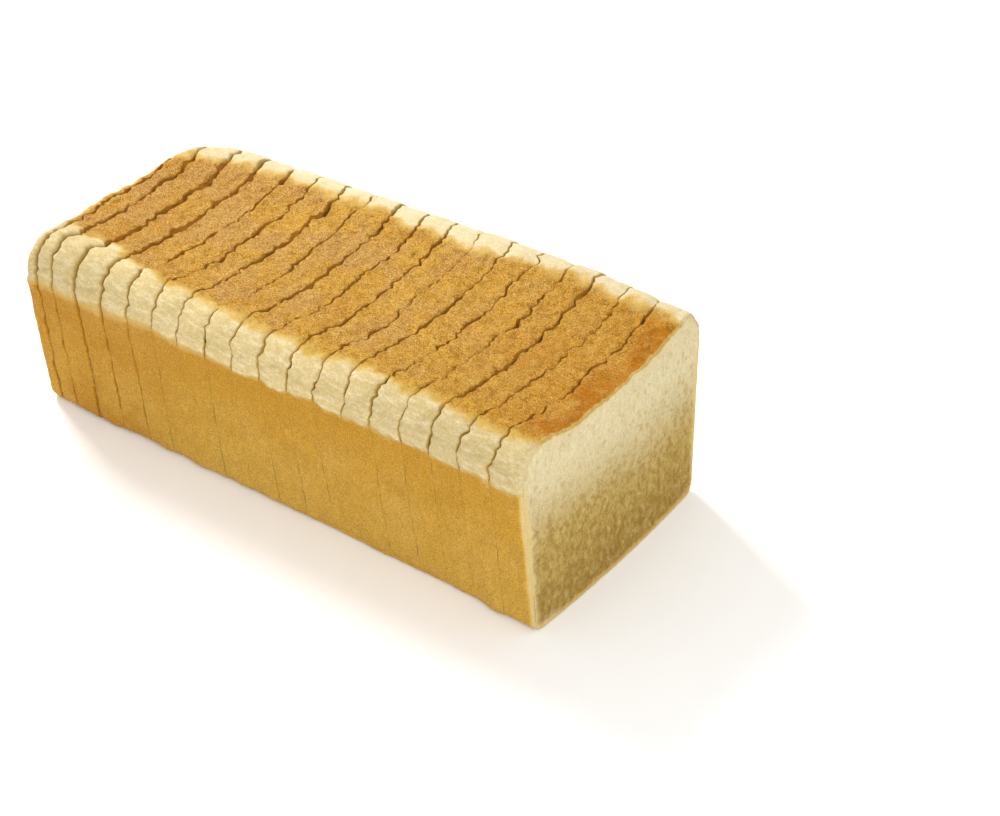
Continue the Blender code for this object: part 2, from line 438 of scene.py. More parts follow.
def pores(y, z, cell, seed, fill):
    """Depth of round hollows: in each square cell one, of its own place, size and stretch.

    The depth falls from the hollow's radius at its middle to 0 at its rim as one less the square
    of the distance, and the deepest of the nine cells round a point counts.
    """
    cy, cz = np.floor(y / cell), np.floor(z / cell)
    depth = np.zeros_like(y)
    for step_y in (-1, 0, 1):
        for step_z in (-1, 0, 1):
            iy, iz = cy + step_y, cz + step_z
            key_y, key_z = ((axis + CELL_OFFSET).astype(np.int64) for axis in (iy, iz))
            draws = [lattice(key_y, key_z, np.full_like(key_y, k), seed) for k in range(5)]
            away_y = y - (iy + 0.15 + 0.7 * draws[0]) * cell
            away_z = z - (iz + 0.15 + 0.7 * draws[1]) * cell
            turn = math.pi * draws[2]
            along = away_y * np.cos(turn) + away_z * np.sin(turn)
            athwart = away_z * np.cos(turn) - away_y * np.sin(turn)
            radius = cell * (0.16 + 0.36 * draws[3] ** 2)
            spread = np.sqrt((along / 1.4) ** 2 + athwart**2) / radius
            hollow = np.clip(1.0 - spread * spread, 0.0, 1.0) * radius * (draws[4] < fill)
            depth = np.maximum(depth, hollow)
    return depth


# ---- the bread's own surface


def random_draws():
    """The cuts' wanders, and each slice's shift across and height change, in the part's order."""
    draw = random.Random(SEED)
    wanders = [draw.uniform(-CUT_WANDER, CUT_WANDER) for _ in range(SLICE_COUNT + 1)]
    changes = [
        (draw.uniform(-SLICE_SHIFT, SLICE_SHIFT),
         draw.uniform(-SLICE_HEIGHT_CHANGE, SLICE_HEIGHT_CHANGE))
        for _ in range(SLICE_COUNT)
    ]
    return wanders, changes


WANDERS, CHANGES = random_draws()


def torn_cut(cut, y, z, look):
    """X of a cut with its tears, and half its local gap.

    The tears are noise of four sizes, strongest at the top. The gap is the cut's own gap times
    noise of three sizes, and above a limit only a part of it counts. Down the walls only the
    noise's highest places stay open. Both neighbours share tears and gap, so they stay apart.
    """
    x = cut_position(cut, WANDERS[cut], y, z)
    level = np.full_like(y, cut * 0.37)
    high = rise(z, 0.06, 0.074)
    near_heel = bell(cut, 0.0, 6.0)
    low_tear = 0.2 + 0.35 * near_heel
    tear = look.seam_wander * (low_tear + (1.0 - low_tear) * high) * layered(level, y, z, TEAR)
    if cut in (0, SLICE_COUNT):
        return x + OUTER_TEAR * tear, np.zeros_like(y)
    opening = 0.7 + layered(level, y, z, OPENING)
    slack = np.clip(opening - 0.95 + 0.5 * near_heel, 0.0, 1.0)
    opening = np.clip(opening, 0.05, 3.0) * high + slack * (1.0 - high)
    gap = half_gap(cut, y) * opening
    return x + tear, np.minimum(gap, GAP_LIMIT + 0.25 * gap) + GAP_LEAST


def pale_band(x, y, z, sides):
    """How pale the crust is, 0 to 1: a band round each shoulder, and the rim of the heel.

    The band runs from the shoulder's spring to a way in over the top, between borders that noise
    makes ragged. Towards the heel the lower border fades slowly down the wall. The heel's rim is
    pale for a reach that grows with the height.
    """
    ragged = layered(x, y, z, BAND_BORDER)
    height, reach = (np.where(y < 0.0, sides[0][i], sides[1][i]) for i in (0, 2))
    above = z - (height - SHOULDER_DOWN) + 0.0012 + ragged
    inwards = np.minimum(reach, LOAF_WIDTH / 2) - np.abs(y) + 1.5 * ragged
    front_edge = 0.0118 + 0.011 * rise(-x, 0.185, 0.23)
    inner_edge = np.where(y < 0.0, front_edge, 0.0138 + 0.003 * rise(-x, 0.0, 0.1))
    softer = 0.003 + 0.0045 * rise(-x, 0.12, 0.22)
    band = ease(above / softer + 0.5) * ease((inner_edge - inwards) / 0.0066 + 0.5)
    from_heel = x - cut_position(0, WANDERS[0], y, z)
    rim_reach = 0.0036 + 0.005 * rise(z, 0.055, 0.07) + ragged
    heel_rim = ease((rim_reach - from_heel) / 0.003) * (0.5 + 0.5 * rise(z, 0.03, 0.06))
    return np.maximum(band, heel_rim)


def smooth_slice(number, steps, parts):
    """Ring points of a slice without its tears, [station, point, (x, y, z)]."""
    shift, height_change = CHANGES[number - 1]
    place = number - 1 + parts[:, None]
    ring = section_ring(*section_rows(place, height_change, steps), steps[2])
    y, z = ring[..., 0], ring[..., 1]
    far = cut_position(number - 1, WANDERS[number - 1], y, z) + half_gap(number - 1, y)
    near = cut_position(number, WANDERS[number], y, z) - half_gap(number, y)
    return np.stack([far + (near - far) * parts[:, None], y + shift, z], -1)


def loaf_shift():
    """How far to move the smooth loaf in x and y, so that its box lies over the frame's box."""
    low = np.full(2, 1e9)
    high = np.full(2, -1e9)
    for number in range(1, SLICE_COUNT + 1):
        points = smooth_slice(number, (5, 8, 4), np.array([0.0, 0.5, 1.0]))
        low = np.minimum(low, points[..., :2].min(axis=(0, 1)))
        high = np.maximum(high, points[..., :2].max(axis=(0, 1)))
    box_middle = np.array([FRAME_LOW.x + FRAME_HIGH.x, FRAME_LOW.y + FRAME_HIGH.y]) / 2
    return box_middle - (low + high) / 2


LOAF_SHIFT = loaf_shift()


def slice_parts():
    """Stations across a slice as parts of its thickness: close together at both rims."""
    half = SLICE_PITCH / 2
    rim = np.array(RIM_STATIONS)
    count = int(round((half - rim[-1]) / STATION_STEP))
    inner = np.linspace(rim[-1], half, count + 1)[1:]
    first = np.concatenate([rim, inner])
    return np.concatenate([first, SLICE_PITCH - first[-2::-1]]) / SLICE_PITCH


def ring_normals(y, z):
    """Outward normals of an anticlockwise ring: its tangent turned a quarter to the right."""
    along_y = np.roll(y, -1, axis=1) - np.roll(y, 1, axis=1)
    along_z = np.roll(z, -1, axis=1) - np.roll(z, 1, axis=1)
    length = np.hypot(along_y, along_z) + 1e-12
    return along_z / length, -along_y / length


def dents(number, x, y, z, zones, across_slice, look):
    """Relief of the crust: noise of three sizes, each by zone, and a slant of each slice's top."""
    pale, top, _, _ = zones
    move = 0.0
    for size, seed, all_over, on_top, on_pale in RELIEF:
        amount = look.crust_relief * (all_over + on_top * top + on_pale * pale)
        move = move + amount * lumps(x, y, z, size, seed)
    slant = lumps(np.full_like(y, number * 0.61), y, z * 0.0, 0.028, 64)
    return move + TOP_SLANT * top * across_slice * slant


def swelling(x, y, z, sides, zones, pillow, look):
    """The bulge between two cuts, strongest where pale, less a crease along the front shoulder."""
    pale, top, back, far_end = zones
    bulge = 0.08 + 0.2 * top + 0.92 * pale * (1.0 - 0.55 * back) + 0.5 * far_end * (1.0 - top)
    above_spring = z - np.where(y < 0.0, sides[0][0], sides[1][0]) + SHOULDER_DOWN
    above_spring = above_spring + 0.0022 * lumps(x, y * 0.0, z * 0.0, 0.007, 67)
    crease = CREASE_DEPTH * pale * (1.0 - back) * bell(above_spring, CREASE_HEIGHT, CREASE_WIDTH)
    return look.shoulder_pillow * pillow * bulge - crease


def worn_rim(cut, distance, y, z, zones, look):
    """How far the crust falls back at a distance from a cut, and how strongly painted shade darkens
    the seam.

    The fall is a worn corner whose radius noise changes, less a lip on the top beside the seam.
    The seam's painted shade is a bell curve of the distance, in dashes down the walls, which grow
    together towards the heel. The loaf's two ends have no lip and no painted seam shade.
    """
    pale, top, back, far_end = zones
    level = np.full_like(y, cut * 2.3)
    wear = 0.8 + 0.7 * lumps(level, y, z, 0.006, 71 + cut)
    wear = wear + 0.9 * lumps(level, y, z, 0.0022, 101 + cut) * (0.2 + 0.8 * top)
    radius = look.rim_wear * np.clip(wear, 0.2, 2.4) * (0.1 + 0.9 * np.maximum(top, pale))
    if cut == 0:
        radius = np.full_like(radius, HEEL_WEAR)
    radius = radius + (0.0004 - 0.0003 * back) * pale + 0.0007 * far_end * (1.0 - top)
    if cut == SLICE_COUNT:
        radius = 0.0006 + 0.5 * radius + 0.0009 * (1.0 - top)
    fall = rounding(radius, np.maximum(distance, 0.0))
    if cut in (0, SLICE_COUNT):
        return fall, np.zeros_like(y)
    lip = np.clip(0.6 + 0.8 * lumps(level, y, z, 0.0035, 131 + cut), 0.0, 1.4)
    lip = LIP_HEIGHT * top * lip * bell(distance, LIP_DISTANCE, LIP_WIDTH)
    # Width and dashes of the painted shade along the seam
    width = 0.00025 + 0.0003 * np.clip(wear, 0.0, 2.0) + 0.0003 * far_end
    dashes = rise(lumps(level, y, z, 0.0055, 151 + cut) + 0.45 * far_end, 0.2, 0.5)
    shown = np.maximum(np.maximum(top, pale), dashes * (0.35 + 0.6 * far_end))
    return fall - lip, shown * bell(distance, 0.0, width)


def foot_change(place, x, y, z, normal_y):
    """How far the front wall goes in at its foot: a tuck towards the cut end, and ripples."""
    tuck = FOOT_TUCK * bell(place, 14.0, 4.5) * rise(place, 17.6, 17.1) * rise(z, 0.04, 0.0)
    ripple = layered(x, y * 0.0, z * 0.0, FOOT_RIPPLE) * rise(z, 0.012, 0.0)
    return np.where(y < 0.0, tuck + ripple, 0.0) * (np.abs(normal_y) > 0.3)


def crust_strip(number, steps, look):
    """The crust of a slice: its ring carried across its thickness, with dents, pillow and rims.

    Every point moves along the section's normal by the sum of the relief, a pillow that is one
    less the fourth power of the distance from the slice's middle, the worn rims and the foot's
    change. On the flat foot only a small rounding is left of it. Returns the points, their marks
    and the rows that the faces span.
    """
    parts = slice_parts()[:, None]
    shift, height_change = CHANGES[number - 1]
    place = number - 1 + parts
    lower, upper = section_rows(place, height_change, steps)
    ring = section_ring(lower, upper, steps[2])
    y, z = ring[..., 0], ring[..., 1]
    far, far_gap = torn_cut(number - 1, y, z, look)
    near, near_gap = torn_cut(number, y, z, look)
    far, near = far + far_gap, near - near_gap
    x = far + (near - far) * parts
    normal_y, normal_z = ring_normals(y, z)
    sides = [side_measures(place, side, height_change) for side in (0, 1)]
    pale = pale_band(x, y, z, sides)
    top = rise(normal_z, 0.45, 0.75) * (1.0 - pale)
    zones = (pale, top, rise(y, 0.0, 0.03), rise(-x, 0.17, 0.22))

    across_slice = 2.0 * parts - 1.0
    pillow = 1.0 - across_slice**4
    move = dents(number, x, y, z, zones, across_slice, look)
    move = move + swelling(x, y, z, sides, zones, pillow, look)
    # How strongly painted shade darkens the crust along each cut
    seam = np.zeros_like(y)
    from_far, from_near = (near - far) * parts, (near - far) * (1.0 - parts)
    for cut, distance in ((number - 1, from_far), (number, from_near)):
        fall, shown = worn_rim(cut, distance, y, z, zones, look)
        move = move - fall
        seam = np.maximum(seam, shown)
    move = move - foot_change(place, x, y, z, normal_y)
    on_foot = rise(z, 0.002, 0.0)
    move = move * (1.0 - on_foot) - FOOT_ROUNDING * on_foot * (1.0 - pillow)
    points = np.stack([x, y + normal_y * move + shift * SHIFT_SHOWN, z + normal_z * move], -1)
    points[..., 2] = np.maximum(points[..., 2], 0.0)

    from_middle = np.abs(y) + 0.003 * lumps(x, y, z, 0.006, 54)
    warm = rise(from_middle, LOAF_WIDTH / 2 - 0.0225, LOAF_WIDTH / 2 - 0.0115)
    marks = dict.fromkeys(MARKS, np.zeros_like(x))
    marks.update(pale=pale, top=top, warm=warm * top, seam=seam, rim=np.ones_like(x))
    marks["bake"] = bake_of(number, x, y, z, top)
    if number == SLICE_COUNT:
        reach = 0.003 - 0.0014 * top + 0.0008 * lumps(x, y, z, 0.004, 55)
        # cut_edge: the cut end's gilt edge, which carries painted light on top and painted shade on
        # its worn crumb
        marks["cut_edge"] = rise(from_near, reach, 0.0)
        marks["rim"][-1] = 0.0
    return points, marks, (lower, upper)


def bake_of(number, x, y, z, top):
    """How strongly a place is baked: noise, a change by slice and more at the top's cut end."""
    tone = 0.42 + layered(x, y, z, BAKE) + 0.05 * math.sin(number * 2.4)
    near_end = rise(x + layered(x, y, z, BAKE_BORDER), -0.019, -0.004)
    near_end = near_end * (0.45 + 0.2 * lumps(x, y, z, 0.006, 85))
    return tone + top * (near_end + 0.04 * bell(y, -0.036, 0.01))


def carried_inwards(moved, edges):
    """Fade the border's moves inwards by e to the minus distance, sides added less the corners."""
    below, above, left, right = (np.exp(-edge / BORDER_FADE)[..., None] for edge in edges)
    spread = moved[:1] * below + moved[-1:] * above + moved[:, :1] * left + moved[:, -1:] * right
    for row, fade_z in ((0, below), (-1, above)):
        for column, fade_y in ((0, left), (-1, right)):
            spread = spread - moved[row, column] * fade_z * fade_y
    return spread


def open_crumb(y, z, inset):
    """Depth of the cut end's pores, and its ripples, which are coarse tufts towards the foot."""
    pore = 0.8 * pores(y, z, 0.0032, 11, 0.22) + 0.9 * pores(y + z, z, 0.0019, 12, 0.6)
    pore = pore + 0.9 * pores(y, z + y, 0.0012, 13, 0.75)
    clear = ease(inset / 0.004)
    pore = pore * clear * (0.5 + 0.5 * ease((0.075 - z + 0.3 * y) / 0.06))
    level = np.full_like(y, 9.0)
    coarser = rise(z + 0.08 * y, 0.06, 0.03)
    tufts = lumps(level, y + 0.5 * z, z - 0.3 * y, 0.0034, 16)
    tufts = tufts + 0.7 * lumps(level, y, z, 0.0017, 17)
    ripple = layered(level, y, z, CRUMB_RIPPLE) + TUFT_HEIGHT * coarser * tufts
    return pore, ripple * clear


def face_sheet(number, near_side, coarse, strip, rows, steps, look):
    """One face of a slice: straight columns from the lower to the upper row, with crumb relief.

    Returns the grid's points, their marks, and the ring numbers of its border.
    """
    step = 2 if coarse else 1
    corner_steps, flat_steps, wall_steps = steps
    across = 2 * corner_steps + flat_steps
    station = -1 if near_side else 0
    lower, upper = rows[0][station][::step], rows[1][station][::step]
    up = np.linspace(0.0, 1.0, wall_steps // step + 1)[:, None]
    y = lower[:, 0] + (upper[:, 0] - lower[:, 0]) * up
    z = lower[:, 1] + (upper[:, 1] - lower[:, 1]) * up
    cut = number if near_side else number - 1
    x, gap = torn_cut(cut, y, z, look)
    x = x - gap if near_side else x + gap

    border = ring_grid(across, wall_steps, step)
    plain = np.stack([x, y + CHANGES[number - 1][0] * SHIFT_SHOWN, z], -1)
    moved = np.zeros_like(plain)
    on_border = border >= 0
    moved[on_border] = strip[station][border[on_border]] - plain[on_border]
    edges = (z - z[0], z[-1] - z, y - y[:, :1], y[:, -1:] - y)
    points = plain + carried_inwards(moved, edges)
    inset = np.minimum(np.minimum(edges[0], edges[1]), np.minimum(edges[2], edges[3]))

    marks = dict.fromkeys(MARKS, np.zeros_like(y))
    marks["inset"] = inset * MILLIMETRES
    if cut == SLICE_COUNT:
        pore, ripple = open_crumb(y, z, inset)
        points[..., 0] += ripple - look.pore_depth * pore
        # The pore depth also sets how much painted shade darkens each pore
        marks["pore"] = pore * MILLIMETRES
    elif cut == 0:
        round_inset = -ROUNDER * np.log(sum(np.exp(-edge / ROUNDER) for edge in edges))
        ragged = layered(points[..., 0], y, z, HEEL_PATCH_BORDER) - round_inset
        marks["pale"] = rise(ragged, -0.009, 0.003) * (0.45 + 0.55 * rise(z, 0.025, 0.065))
    else:
        # A hidden face's rim: baked crust at the edge, then painted shade deeper in the crack
        marks["rim"] = bell(inset, 0.0, RIM_SHADE)
    marks["bake"] = bake_of(number, points[..., 0], y, z, marks["top"])
    return points, marks, border


def ring_grid(across, wall_steps, step):
    """Ring numbers on the border of a face's index grid, and -1 inside."""
    rows, columns = wall_steps // step + 1, across // step + 1
    grid = np.full((rows, columns), -1, dtype=np.int64)
    i = np.arange(0, across + 1, step)
    j = np.arange(0, wall_steps + 1, step)
    total = 2 * (across + wall_steps)
    grid[0] = i
    grid[:, -1] = across + j
    grid[-1] = across + wall_steps + (across - i)
    grid[1:, 0] = (2 * across + wall_steps + (wall_steps - j[1:])) % total
    return grid


def face_polygons(index, border, coarse, ring_count, base, outwards_plus_x):
    """Polygons of a face grid as (corners, corner counts); coarse border cells take a mid point.

    Every cell is an eight-place list of corner, mid point, corner and so on, with -1 where there
    is no mid point, and the places that are -1 drop out.
    """
    a, b = index[:-1, :-1], index[:-1, 1:]
    c, d = index[1:, 1:], index[1:, :-1]
    cells = np.full(a.shape + (8,), -1, dtype=np.int64)
    cells[..., 0], cells[..., 2], cells[..., 4], cells[..., 6] = a, b, c, d
    if coarse:
        cells[0, :, 1] = (border[0, :-1] + 1) % ring_count + base
        cells[:, -1, 3] = (border[:-1, -1] + 1) % ring_count + base
        cells[-1, :, 5] = (border[-1, 1:] + 1) % ring_count + base
        cells[:, 0, 7] = (border[1:, 0] + 1) % ring_count + base
    cells = cells.reshape(-1, 8)
    if not outwards_plus_x:
        cells = cells[:, ::-1]
    kept = cells >= 0
    return cells[kept], kept.sum(axis=1)


def strip_polygons(stations, ring_count):
    """Quads between neighbouring rings, facing outwards."""
    station, point = np.meshgrid(np.arange(stations - 1), np.arange(ring_count), indexing="ij")
    following = (point + 1) % ring_count
    first, second = station * ring_count, (station + 1) * ring_count
    quads = np.stack([first + point, first + following, second + following, second + point], -1)
    return quads.reshape(-1), np.full((stations - 1) * ring_count, 4)


def fill_mesh(name, points, corners, counts, material_of_face, marks, materials):
    """Make an object from whole arrays, smooth shaded, with a float attribute for each mark."""
    data = bpy.data.meshes.new(name)
    data.vertices.add(len(points))
    data.vertices.foreach_set("co", points.astype(np.float32).ravel())
    data.loops.add(len(corners))
    data.loops.foreach_set("vertex_index", corners.astype(np.int32))
    data.polygons.add(len(counts))
    starts = np.concatenate([[0], np.cumsum(counts)[:-1]])
    data.polygons.foreach_set("loop_start", starts.astype(np.int32))
    data.polygons.foreach_set("material_index", material_of_face.astype(np.int32))
    data.polygons.foreach_set("use_smooth", np.ones(len(counts), dtype=bool))
    data.update(calc_edges=True)
    for mark, values in marks.items():
        attribute = data.attributes.new(mark, "FLOAT", "POINT")
        attribute.data.foreach_set("value", values.astype(np.float32))
    for material in materials:
        data.materials.append(material)
    data.validate()
    piece = bpy.data.objects.new(name, data)
    bpy.context.scene.collection.objects.link(piece)
    return piece


def slice_name(number):
    """The name of a slice's frame node, counted from 1 at the heel."""
    if number == 1:
        return "far_heel"
    if number == SLICE_COUNT:
        return "cut_end_slice"
    return f"slice_{number:02d}"


def build_slice(number, look):
    """Build one slice from its crust strip and two faces, hang it on the root body and hide the
    frame's part that it replaces.
    """
    steps = CUT_END_STEPS if number == SLICE_COUNT else SLICE_STEPS
    strip, strip_marks, rows = crust_strip(number, steps, look)
    stations, ring_count = strip.shape[:2]
    points = [strip.reshape(-1, 3)]
    marks = {mark: [values.ravel()] for mark, values in strip_marks.items()}
    polygons = [(*strip_polygons(stations, ring_count), CRUST)]
    total = stations * ring_count
    for near_side in (False, True):
        open_face = number == (SLICE_COUNT if near_side else 1)
        sheet, face_marks, border = face_sheet(
            number, near_side, not open_face, strip, rows, steps, look
        )
        base = (stations - 1) * ring_count if near_side else 0
        inside = border < 0
        index = border + base
        index[inside] = total + np.arange(inside.sum())
        total += int(inside.sum())
        points.append(sheet[inside])
        for mark, values in face_marks.items():
            marks[mark].append(values[inside])
        face = face_polygons(index, border, not open_face, ring_count, base, near_side)
        crusted = number == 1 and not near_side
        polygons.append((*face, CRUST if crusted else CRUMB))
    points = np.concatenate(points)
    points[:, :2] += LOAF_SHIFT
    marks = {mark: np.concatenate(values) for mark, values in marks.items()}
    corners, counts = (np.concatenate([part[i] for part in polygons]) for i in (0, 1))
    slots = np.concatenate([np.full(len(part[1]), part[2]) for part in polygons])
    materials = bread_materials(look)
    piece = fill_mesh(
        slice_name(number) + "_bread", points, corners, counts, slots, marks, materials
    )
    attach(piece, "root")
    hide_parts(slice_name(number))


# ---- materials


class Recipe:
    """A short way to write a material's nodes: each call adds one node and gives its output."""

    def __init__(self, name):
        self.material = bpy.data.materials.new(name)
        self.material.use_nodes = True
        self.tree = self.material.node_tree
        self.shader = self.tree.nodes["Principled BSDF"]
        self.place = self.node("TexCoord").outputs["Object"]
        split = self.node("SeparateXYZ", Vector=self.place)
        self.along, self.across, self.up = (split.outputs[axis] for axis in "XYZ")

    def feed(self, socket, value):
        """Link an output to a socket, or set a plain value on it."""
        if isinstance(value, bpy.types.NodeSocket):
            self.tree.links.new(value, socket)
        else:
            socket.default_value = value

    def node(self, kind, **inputs):
        """Add a node and feed its inputs by name."""
        node = self.tree.nodes.new("ShaderNode" + kind)
        for name, value in inputs.items():
            self.feed(node.inputs[name.replace("_", " ")], value)
        return node

    def mark(self, name):
        """The value of a float attribute."""
        node = self.node("Attribute")
        node.attribute_name = name
        return node.outputs["Fac"]

    def noise(self, scale, detail, roughness, stretch=(1.0, 1.0, 1.0), offset=(0.0, 0.0, 0.0)):
        """Noise of a scale per metre, from 0 to 1, on a stretched and shifted place."""
        place = self.node("Mapping", Vector=self.place, Location=offset, Scale=stretch)
        vector = place.outputs["Vector"]
        node = self.node("TexNoise", Vector=vector, Scale=scale, Detail=detail, Roughness=roughness)
        return node.outputs["Fac"]

    def math(self, operation, a, b=0.0):
        """A sum or other operation on two values."""
        node = self.node("Math")
        node.operation = operation
        self.feed(node.inputs[0], a)
        self.feed(node.inputs[1], b)
        return node.outputs["Value"]

    def times(self, a, b):
        """The product of two values."""
        return self.math("MULTIPLY", a, b)

    def span(self, value, low, high, to_low=0.0, to_high=1.0):
        """Map a range to another, clamped and eased."""
        node = self.node(
            "MapRange", Value=value, From_Min=low, From_Max=high, To_Min=to_low, To_Max=to_high
        )
        node.interpolation_type = "SMOOTHSTEP"
        return node.outputs["Result"]

    def mix(self, factor, a, b, kind="MIX"):
        """Blend two colours."""
        node = self.node("Mix")
        node.data_type = "RGBA"
        node.blend_type = kind
        self.feed(node.inputs["Factor"], factor)
        for socket, value in ((MIX_FIRST, a), (MIX_SECOND, b)):
            if not isinstance(value, bpy.types.NodeSocket):
                value = (*value, 1.0)
            self.feed(node.inputs[socket], value)
        return node.outputs[MIX_RESULT]

    def tinted(self, colour, *tints):
        """Blend a colour towards others in turn, each given as (value, low, high, most, other).

        A blend rises from nothing at the low value to the most at the high one.
        """
        for value, low, high, most, other in tints:
            colour = self.mix(self.span(value, low, high, 0.0, most), colour, other)
        return colour

    def scaled(self, colour, factor):
        """Multiply a colour by a grey value."""
        grey = self.node("CombineColor", Red=factor, Green=factor, Blue=factor)
        return self.mix(1.0, colour, grey.outputs["Color"], "MULTIPLY")

    def bump(self, height, distance, strength, **under):
        """A bump of a height in metres over the surface, laid over another bump if given."""
        node = self.node("Bump", Height=height, Distance=distance, Strength=strength, **under)
        return node.outputs["Normal"]

    def finish(self, colour, roughness, normal):
        """Connect the shader."""
        self.feed(self.shader.inputs["Base Color"], colour)
        self.feed(self.shader.inputs["Roughness"], roughness)
        self.feed(self.shader.inputs["Normal"], normal)
        self.shader.inputs["Specular IOR Level"].default_value = MATT_GLOSS
        return self.material


def shade(colour, factor):
    """A colour made lighter or darker by a factor."""
    return tuple(min(1.0, channel * factor) for channel in colour)


def top_tints(r, look):
    """The baked top: gold to dark by how baked it is, then floury patches, blisters and grain."""
    blisters = r.noise(210.0, 3.0, 0.65, offset=(0.1, 0.5, 0.3))
    coarse_grain = r.noise(520.0, 3.0, 0.7, offset=(0.3, 0.1, 0.7))
    colour = r.tinted(
        look.top_gold,
        (r.bake, 0.35, 1.0, 1.0, look.top_dark),
        (r.bake, 0.42, 0.1, 1.0, shade(look.top_gold, 1.15)),
        (r.patches, 0.45, 0.6, r.span(r.along, 0.13, -0.03, 0.1, 0.8), look.top_tan),
    )
    return r.tinted(
        r.mix(r.times(r.mark("warm"), 0.7), colour, WARM_GOLD),
        (r.along, -0.035, -0.105, 0.35, ROSY_BROWN),
        (blisters, 0.5, 0.36, r.span(r.along, 0.03, 0.09, 0.45, 0.75), BLISTER_BROWN),
        (blisters, 0.52, 0.66, 0.5, BLISTER_TAN),
        (coarse_grain, 0.5, 0.36, 0.45, GRAIN_RUST),
        (r.grain, 0.5, 0.4, 0.72, GRAIN_DARK),
        (r.specks, 0.52, 0.63, r.span(r.bake, 0.6, 1.0, 0.75, 0.1875), GLINT_GOLD),
        (r.along, 0.05, 0.115, 0.2, DEEP_ORANGE),
    )


def side_tints(r, look):
    """The tin-smooth side: amber above, straw at the foot, tan and toasted towards the heel."""
    streaks = r.noise(130.0, 3.0, 0.6, stretch=(2.2, 2.2, 1.0))
    toasted = r.times(r.span(r.along, -0.025, -0.085), r.span(r.up, 0.062, 0.04, 0.18, 0.6))
    colour = r.tinted(
        look.side_gold,
        (r.smudges, 0.4, 0.7, 0.35, SMUDGE_BROWN),
        (r.bake, 0.6, 0.2, 0.5, SIDE_STRAW),
    )
    return r.tinted(
        r.scaled(colour, r.span(streaks, 0.35, 0.65, 0.92, 1.06)),
        (r.up, 0.045, 0.0, 0.5, FOOT_STRAW),
        (r.up, 0.03, 0.06, r.span(r.along, 0.12, -0.1, 0.4, 0.95), UPPER_AMBER),
        (r.up, 0.034, 0.06, r.span(r.along, -0.025, -0.085, 0.0, 0.5), HEEL_TAN),
        (r.patches, 0.47, 0.6, toasted, TOAST_BROWN),
        (r.along, -0.02, -0.1, 0.4, FAR_BROWN),
        (r.grain, 0.5, 0.4, 0.45, SIDE_GRAIN),
        (r.specks, 0.53, 0.66, 0.45, SIDE_GLINT),
    )


def shoulder_tints(r, look):
    """The pale shoulder: smudged cream with painted highlights and shade on torn facets and crease
    streaks, and painted light that makes the back lighter.
    """
    facets = r.noise(420.0, 3.0, 0.6, stretch=(0.8, 1.0, 1.8), offset=(0.4, 0.9, 0.5))
    streaky = r.noise(330.0, 3.0, 0.6, stretch=(0.4, 1.3, 1.9), offset=(0.8, 0.3, 0.6))
    cream = r.tinted(
        look.shoulder_cream,
        (r.smudges, 0.45, 0.68, 0.4, SMUDGE_CREAM),
        # painted highlights and shade: lit and shaded facets, then lit and shaded crease streaks
        (facets, 0.5, 0.66, 0.45, FACET_HIGHLIGHT),
        (facets, 0.48, 0.32, 0.35, FACET_SHADE),
        (streaky, 0.52, 0.64, 0.38, STREAK_HIGHLIGHT),
        (streaky, 0.46, 0.36, 0.2, STREAK_SHADE),
    )
    from_middle = r.math("ABSOLUTE", r.math("ADD", r.along, 0.015))
    cream = r.scaled(cream, r.span(from_middle, 0.03, 0.1, 1.07, 0.95))
    # painted light: the back shoulder made lighter
    return r.tinted(cream, (r.across, 0.02, 0.05, 0.6, PAINTED_BACK_LIGHT))


def crust_material(look):
    """Baked crust: its side, top and pale shoulder, with painted shade in the seams, and the gilt
    edge of a cut with painted light on top and painted shade on its worn crumb.

    The marks say which of the three a place is. A golden fringe lies where pale meets baked.
    """
    r = Recipe(CRUST_NAME)
    r.bake = r.mark("bake")
    r.grain = r.noise(1300.0, 4.0, 0.8)
    r.specks = r.noise(2300.0, 2.0, 0.6, offset=(0.6, 0.4, 0.2))
    r.patches = r.noise(48.0, 3.0, 0.6, offset=(0.9, 0.2, 0.4))
    r.smudges = r.noise(110.0, 3.0, 0.55, offset=(0.5, 0.8, 0.1))
    pale, top, cut_edge = r.mark("pale"), r.mark("top"), r.mark("cut_edge")

    not_pale = r.math("SUBTRACT", 1.0, pale)
    fringe = r.mix(r.span(r.up, 0.066, 0.072), SIDE_FRINGE, TOP_FRINGE)
    colour = r.mix(top, side_tints(r, look), top_tints(r, look))
    colour = r.tinted(
        r.mix(pale, colour, shoulder_tints(r, look)),
        (r.times(pale, not_pale), 0.02, 0.25, 0.55, fringe),
        # painted shade in the seams between slices
        (r.mark("seam"), 0.1, 1.0, 0.8, r.mix(pale, SEAM_SHADE_BROWN, SEAM_SHADE_OLIVE)),
        # the cut end's gilt edge, lighter on top as painted light, then its worn crumb, darker as
        # painted shade
        (cut_edge, 0.0, 0.8, not_pale, r.mix(top, SIDE_GILT, TOP_GILT_AND_PAINTED_LIGHT)),
        (cut_edge, 0.5, 1.0, r.span(top, 0.0, 0.7, 0.7, 0.3), WORN_CREAM_AND_PAINTED_SHADE),
    )
    colour = r.scaled(colour, r.span(r.grain, 0.42, 0.58, 0.9, 1.07))
    normal = r.bump(r.times(r.grain, r.span(top, 0.0, 1.0, 0.4, 1.0)), 0.0012, 1.0)
    normal = r.bump(r.times(r.specks, top), 0.0006, 0.8, Normal=normal)
    ripples = r.times(r.smudges, r.span(pale, 0.0, 1.0, 0.4, 1.0))
    normal = r.bump(ripples, 0.0012, 0.7, Normal=normal)
    return r.finish(colour, r.span(r.grain, 0.3, 0.7, 0.62, 0.9), normal)


